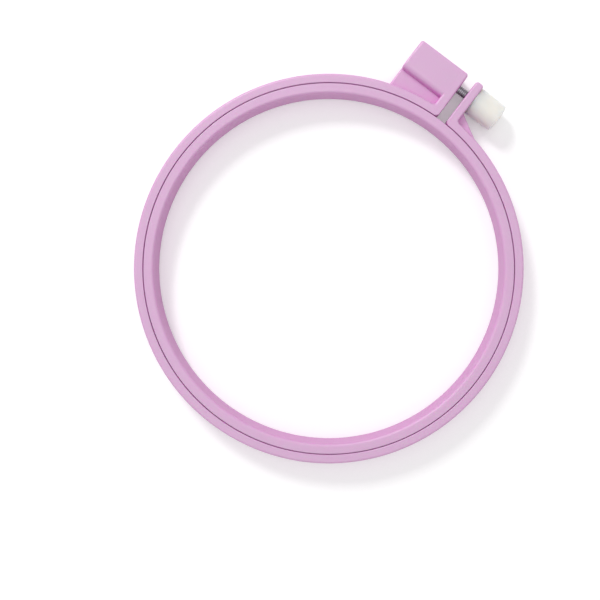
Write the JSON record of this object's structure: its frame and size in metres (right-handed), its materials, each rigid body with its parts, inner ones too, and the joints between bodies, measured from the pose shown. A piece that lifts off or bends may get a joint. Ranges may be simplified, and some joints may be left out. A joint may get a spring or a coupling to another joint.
{
  "type": "embroidery hoop",
  "caption": "Round two-ring embroidery hoop with a split outer ring closed by a thumb screw and a captive nut in a hollow lug.",
  "frame": {"origin": "centre of the rings at half the hoop's height", "axes": "+Z is the axis of the rings, up out of the face that the picture shows; +Y points from the centre through the middle of the outer ring's gap; +X is parallel to the screw, towards the knob"},
  "size_m": [0.1604, 0.1788, 0.0126],
  "materials": {
    "lilac_plastic": "moulded, satin gloss",
    "white_plastic": "moulded, smooth",
    "plated_steel": "zinc plated"
  },
  "bodies": {
    "ear_half": {"outer_ring_right": "lilac_plastic"},
    "lug_half": {"outer_ring_left": "lilac_plastic"},
    "inner_ring": {"inner_ring": "lilac_plastic"},
    "screw": {"clamp_screw": "plated_steel", "screw_knob": "white_plastic"},
    "nut": {"square_nut": "plated_steel"}
  },
  "joints": [
    {"name": "screw_turn", "type": "hinge", "parent": "ear_half", "child": "screw", "pos_m": [0, 0.0924, 0], "axis": [1, 0, 0], "range_deg": [0, 2160]},
    {"name": "nut_travel", "type": "slide", "parent": "ear_half", "child": "nut", "axis": [-1, 0, 0], "range_m": [0, 0.00477]},
    {"name": "ring_spread", "type": "hinge", "parent": "ear_half", "child": "lug_half", "pos_m": [0, -0.0802, 0], "axis": [0, 0, 1], "range_deg": [0, 1.58]},
    {"name": "inner_ring_lift", "type": "slide", "parent": "ear_half", "child": "inner_ring", "axis": [0, 0, 1], "range_m": [0, 0.02]}
  ],
  "couplings": [
    {"joint": "screw_turn", "follows": "ring_spread", "ratio": 1365.8},
    {"joint": "nut_travel", "follows": "ring_spread", "m_per_rad": 0.1726}
  ]
}
